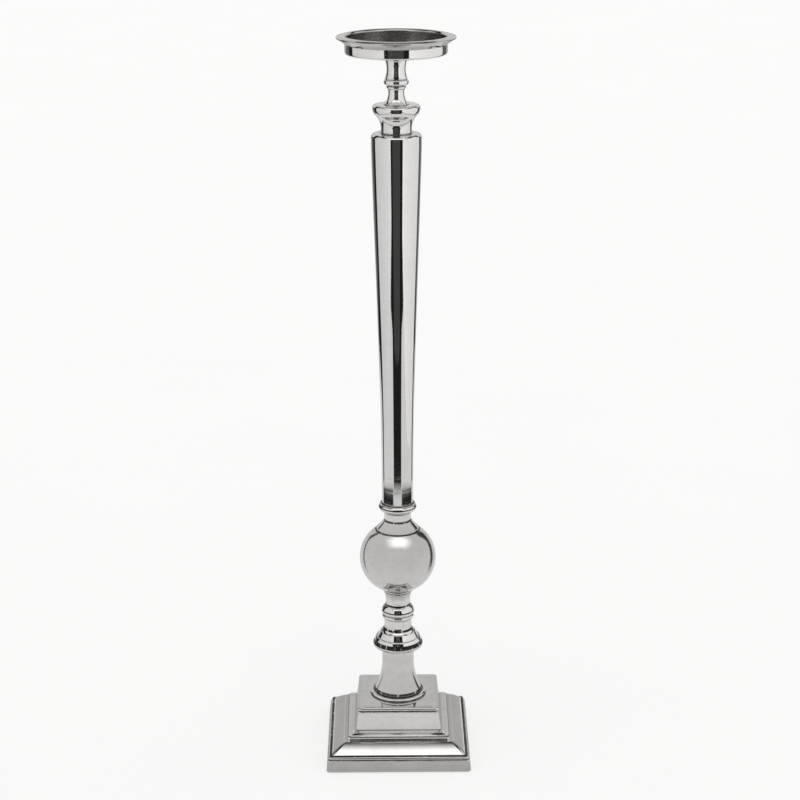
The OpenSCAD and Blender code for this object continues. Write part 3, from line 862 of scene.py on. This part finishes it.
# what glossy rays meet past the cards, and what lights the matt surfaces
ROOM_LIGHT, FILL_LIGHT = 0.012, 0.8
world = bpy.data.worlds.new("studio")
scene.world = world
world.use_nodes = True
tree = world.node_tree
tree.nodes.clear()
path = tree.nodes.new("ShaderNodeLightPath")
seen = tree.nodes.new("ShaderNodeBackground")
seen.inputs["Color"].default_value = (1, 1, 1, 1)
room = tree.nodes.new("ShaderNodeBackground")
room.inputs["Color"].default_value = (1, 1, 1, 1)
room.inputs["Strength"].default_value = ROOM_LIGHT
fill = tree.nodes.new("ShaderNodeBackground")
fill.inputs["Strength"].default_value = FILL_LIGHT
pick_fill = tree.nodes.new("ShaderNodeMixShader")
pick = tree.nodes.new("ShaderNodeMixShader")
end = tree.nodes.new("ShaderNodeOutputWorld")
tree.links.new(path.outputs["Is Diffuse Ray"], pick_fill.inputs[0])
tree.links.new(room.outputs[0], pick_fill.inputs[1])
tree.links.new(fill.outputs[0], pick_fill.inputs[2])
tree.links.new(path.outputs["Is Camera Ray"], pick.inputs[0])
tree.links.new(pick_fill.outputs[0], pick.inputs[1])
tree.links.new(seen.outputs[0], pick.inputs[2])
tree.links.new(pick.outputs[0], end.inputs[0])

WALL = 1.0
TOP = 1.75
BACK = 1.25
TABLE_EDGE, TABLE_Z = -1.3, -0.0004
FRONT_EDGE = 0.862
# left side, width, bottom, top and glow of each strip
ROOM_STRIPS = [
    (-0.62, 0.06, 0.3, 2.4, 0.5),
    (-0.2, 0.05, 0.9, 2.6, 0.8),
    (0.16, 0.04, 0.7, 2.2, 0.6),
    (0.5, 0.07, 0.4, 2.4, 0.45),
]


def upright(name, x0, y0, x1, y1, z0, z1, low, high=None, **more):
    """An upright card between two points of the plan."""
    card(name, [(x0, y0, z0), (x1, y1, z0), (x1, y1, z1), (x0, y0, z1)], low, high, **more)


def level(name, x, y0, y1, z, glow, **more):
    """A level card, centred from side to side."""
    card(name, [(-x, y0, z), (x, y0, z), (x, y1, z), (-x, y1, z)], glow, **more)


def at(azimuth, far=WALL):
    """Point of the side wall that lies at an azimuth from the camera's side."""
    return far / math.tan(math.radians(azimuth))


# tent walls at both sides, brighter at their front edges
upright("tent_left", -WALL, -at(26.6), -WALL, -at(112), -0.04, TOP, 1.0, 0.76, soft=(0.012, 0.02))
upright("tent_right", WALL, -at(28), WALL, -at(124), -0.04, TOP, 1.12, 0.9, soft=(0.012, 0.02))
# back wall: lighter in its middle and towards its top
upright("back_middle", -0.85, BACK, 0.85, BACK, 0.0, 0.85, 0.50, soft=(0.06, 0.0))
upright("back_side_left", -1.6, BACK, -0.85, BACK, 0.0, 0.85, 0.14, soft=(0.0, 0.0))
upright("back_side_right", 0.85, BACK, 1.6, BACK, 0.0, 0.85, 0.14, soft=(0.0, 0.0))
upright("back_top", -1.4, BACK, 1.4, BACK, 0.85, 1.60, 0.72, soft=(0.03, 0.06))
# ceiling: a softbox in front of the candlestick and a dimmer part behind it
level("over_front", 0.95, -1.6, 0.05, TOP, 1.5, soft=(0.05, 0.4))
level("over_back", 0.9, 0.5, 1.2, TOP, 0.4, soft=(0.1, 0.2))


def table_shade(n):
    """The table as the metal sees it: darker beside the foot, and with a dark gap at both sides."""
    point = n.add("TexCoord").outputs["Object"]
    parts = n.add("SeparateXYZ", {0: point}).outputs
    beside = n.math("MAXIMUM", n.math("ABSOLUTE", parts[0]), n.math("ABSOLUTE", parts[1]))
    near_foot = n.spread(beside, 0.085, 0.3, 0.58, 1.0)
    far = n.add("VectorMath", {0: point}, operation="LENGTH").outputs["Value"]
    side = n.math("DIVIDE", parts[1], far)
    gap = n.math("MULTIPLY", n.spread(far, 0.782, 0.79), n.spread(far, 0.85, 0.87, 1.0, 0.0))
    beside_it = n.math("MULTIPLY", n.spread(side, -0.90, -0.82), n.spread(side, 0.5, 0.65, 1.0, 0.0))
    gap = n.math("MULTIPLY", gap, beside_it)
    past_front = n.spread(far, FRONT_EDGE - 0.02, FRONT_EDGE + 0.02)
    front = n.math("MULTIPLY", n.spread(side, -0.90, -0.88, 1.0, 0.0), past_front)
    corner = n.math("ADD", side, n.spread(parts[0], -0.1, 0.1, 0.17, 0.0))
    corner = n.math("MULTIPLY", n.spread(corner, 0.54, 0.57), n.spread(corner, 0.73, 0.77, 1.0, 0.0))
    gap = n.math("MAXIMUM", gap, n.math("MULTIPLY", corner, n.spread(far, 0.87, 0.89)))
    gap = n.math("MAXIMUM", gap, front)
    return n.math("MULTIPLY", near_foot, n.spread(gap, 0.0, 1.0, 1.0, 0.02))


level("table_top", WALL, TABLE_EDGE, BACK, TABLE_Z, 0.82, soft=(0.0, 0.01), shaded=table_shade)
# the dim room behind the camera, with a few lit strips in it
upright("room_front", -1.12, -3.2, 1.0, -3.2, -1.3, 1.3, 0.066, soft=(0.03, 0.12))
for i, (x, w, z0, z1, glow) in enumerate(ROOM_STRIPS):
    upright("room_strip_%d" % i, x, -3.1, x + w, -3.1, z0, z1, glow, soft=(0.1, 0.1))
# what the ball, the bell and the stem foot see instead: an even grey dome, and one glare on the ball
middle = 0.5 * (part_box("ball")[0][2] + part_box("ball")[1][2])
clear_glow("silk_dome", *dome_mesh(middle - 0.0003), (0, 0, middle), silk_strength, silk)
patch = [(-0.5, -0.3, 0), (0.5, -0.3, 0), (0.5, 0.3, 0), (-0.5, 0.3, 0)]
clear_glow("ball_glare", patch, [(0, 1, 2, 3)], (0, -0.24, middle + 0.55), glare_strength, ball_only)
